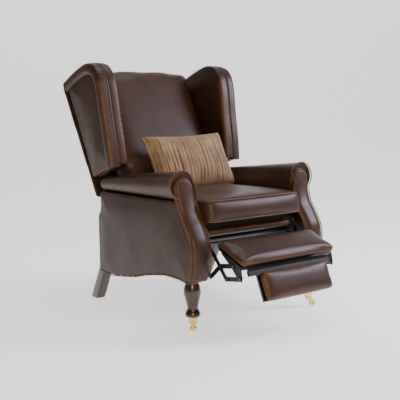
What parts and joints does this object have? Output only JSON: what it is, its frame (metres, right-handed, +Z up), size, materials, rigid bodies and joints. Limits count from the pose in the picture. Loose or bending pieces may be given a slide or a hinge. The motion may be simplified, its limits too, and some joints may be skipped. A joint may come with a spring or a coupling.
{
  "type": "recliner armchair",
  "caption": "Traditional wing-back recliner armchair in dark leather with scroll arms, folding footrest, reclining back, turned front legs on castors and a loose lumbar cushion.",
  "frame": {"origin": "centre of the object's box, on the floor", "axes": "+Z up, +Y to the rear of the chair (the sitter faces -Y), +X to the right as seen from the front"},
  "size_m": [0.7472, 1.2098, 1.0649],
  "materials": {
    "leather": "satin dark brown hide",
    "frame_wood": "raw birch",
    "black_board": "black painted plywood",
    "webbing": "woven elastic webbing",
    "base_cloth": "black base cloth",
    "mahogany": "gloss dark mahogany",
    "brass": "polished",
    "black_steel": "black semi-gloss",
    "cushion_fabric": "pleated golden brown corduroy"
  },
  "bodies": {
    "base": {"arm_facing_left": "leather", "arm_facing_right": "leather", "arm_pad_left": "leather", "arm_pad_right": "leather", "side_board_left": "frame_wood", "side_board_right": "frame_wood", "outer_side_panel_left": "leather", "outer_side_panel_right": "leather", "side_frame_left": "frame_wood", "side_frame_right": "frame_wood", "mechanism_cleat_left": "frame_wood", "mechanism_cleat_right": "frame_wood", "rear_leg_left": "mahogany", "rear_leg_right": "mahogany", "front_leg_left": "mahogany", "front_leg_right": "mahogany", "castor_cup_left": "brass", "castor_cup_right": "brass", "mechanism_plate_left": "black_steel", "mechanism_plate_right": "black_steel", "rear_rail": "frame_wood", "rear_panel": "leather", "front_rail": "leather", "seat_frame": "frame_wood", "seat_webbing": "webbing", "seat_deck": "base_cloth", "seat_cushion": "leather", "plate_bolts": "black_steel", "tie_rod": "black_steel", "recline_bolts": "black_steel"},
    "back": {"back_pad": "leather", "back_board": "frame_wood", "outside_back": "leather", "recline_brackets": "black_steel", "wing_roll_left": "leather", "wing_roll_right": "leather", "wing_pad_left": "leather", "wing_pad_right": "leather", "wing_board_left": "frame_wood", "wing_board_right": "frame_wood", "wing_panel_left": "leather", "wing_panel_right": "leather"},
    "lumbar": {"lumbar_cushion": "cushion_fabric"},
    "lift_link": {"lift_links": "black_steel"},
    "drive_link": {"drive_links": "black_steel", "drive_tube": "black_steel"},
    "carrier": {"carrier_links": "black_steel"},
    "guide": {"guide_links": "black_steel"},
    "footrest": {"footrest_brackets": "black_steel", "flap_hinge_rod": "black_steel", "footrest_board": "black_board", "footrest_pad": "leather"},
    "flap": {"flap_board": "black_board", "flap_pad": "leather", "flap_arms": "black_steel"},
    "castor_left": {"castor_fork_left": "brass"},
    "wheel_left": {"castor_wheel_left": "brass"},
    "castor_right": {"castor_fork_right": "brass"},
    "wheel_right": {"castor_wheel_right": "brass"}
  },
  "joints": [
    {"name": "footrest_open", "type": "hinge", "parent": "base", "child": "lift_link", "pos_m": [0, -0.2983, 0.385], "axis": [-1, 0, 0], "range_deg": [-67.5, 22.5]},
    {"name": "drive_pivot", "type": "hinge", "parent": "base", "child": "drive_link", "pos_m": [0, -0.2383, 0.336], "axis": [-1, 0, 0], "range_deg": [-67.5, 22.5]},
    {"name": "carrier_pivot", "type": "hinge", "parent": "lift_link", "child": "carrier", "pos_m": [0, -0.4053, 0.264], "axis": [-1, 0, 0], "range_deg": [-22.5, 67.5]},
    {"name": "guide_pivot", "type": "hinge", "parent": "lift_link", "child": "guide", "pos_m": [0, -0.4433, 0.221], "axis": [-1, 0, 0], "range_deg": [-22.5, 67.5]},
    {"name": "bracket_pivot", "type": "hinge", "parent": "carrier", "child": "footrest", "pos_m": [0, -0.4793, 0.275], "axis": [-1, 0, 0], "range_deg": [-67.5, 22.5]},
    {"name": "flap_hinge", "type": "hinge", "parent": "footrest", "child": "flap", "pos_m": [0, -0.50981, 0.26458], "axis": [-1, 0, 0], "range_deg": [-135, 45]},
    {"name": "back_recline", "type": "hinge", "parent": "base", "child": "back", "pos_m": [0, 0.3267, 0.42], "axis": [-1, 0, 0], "range_deg": [-12, 8]},
    {"name": "cushion_lean", "type": "hinge", "parent": "base", "child": "lumbar", "pos_m": [0, 0.1067, 0.59], "axis": [-1, 0, 0], "range_deg": [-12, 8]},
    {"name": "castor_swivel_left", "type": "hinge", "parent": "base", "child": "castor_left", "pos_m": [-0.303, -0.3153, 0.04], "axis": [0, 0, 1], "continuous": true},
    {"name": "castor_roll_left", "type": "hinge", "parent": "castor_left", "child": "wheel_left", "pos_m": [-0.29325, -0.30137, 0.0155], "axis": [-0.8192, 0.5736, 0], "continuous": true},
    {"name": "castor_swivel_right", "type": "hinge", "parent": "base", "child": "castor_right", "pos_m": [0.303, -0.3153, 0.04], "axis": [0, 0, 1], "continuous": true},
    {"name": "castor_roll_right", "type": "hinge", "parent": "castor_right", "child": "wheel_right", "pos_m": [0.31693, -0.32505, 0.0155], "axis": [0.5736, 0.8192, 0], "continuous": true}
  ],
  "couplings": [
    {"joint": "drive_pivot", "follows": "footrest_open", "ratio": 1},
    {"joint": "carrier_pivot", "follows": "footrest_open", "ratio": -1},
    {"joint": "guide_pivot", "follows": "footrest_open", "ratio": -1},
    {"joint": "bracket_pivot", "follows": "footrest_open", "ratio": 1},
    {"joint": "flap_hinge", "follows": "footrest_open", "ratio": 2},
    {"joint": "cushion_lean", "follows": "back_recline", "ratio": 1}
  ]
}
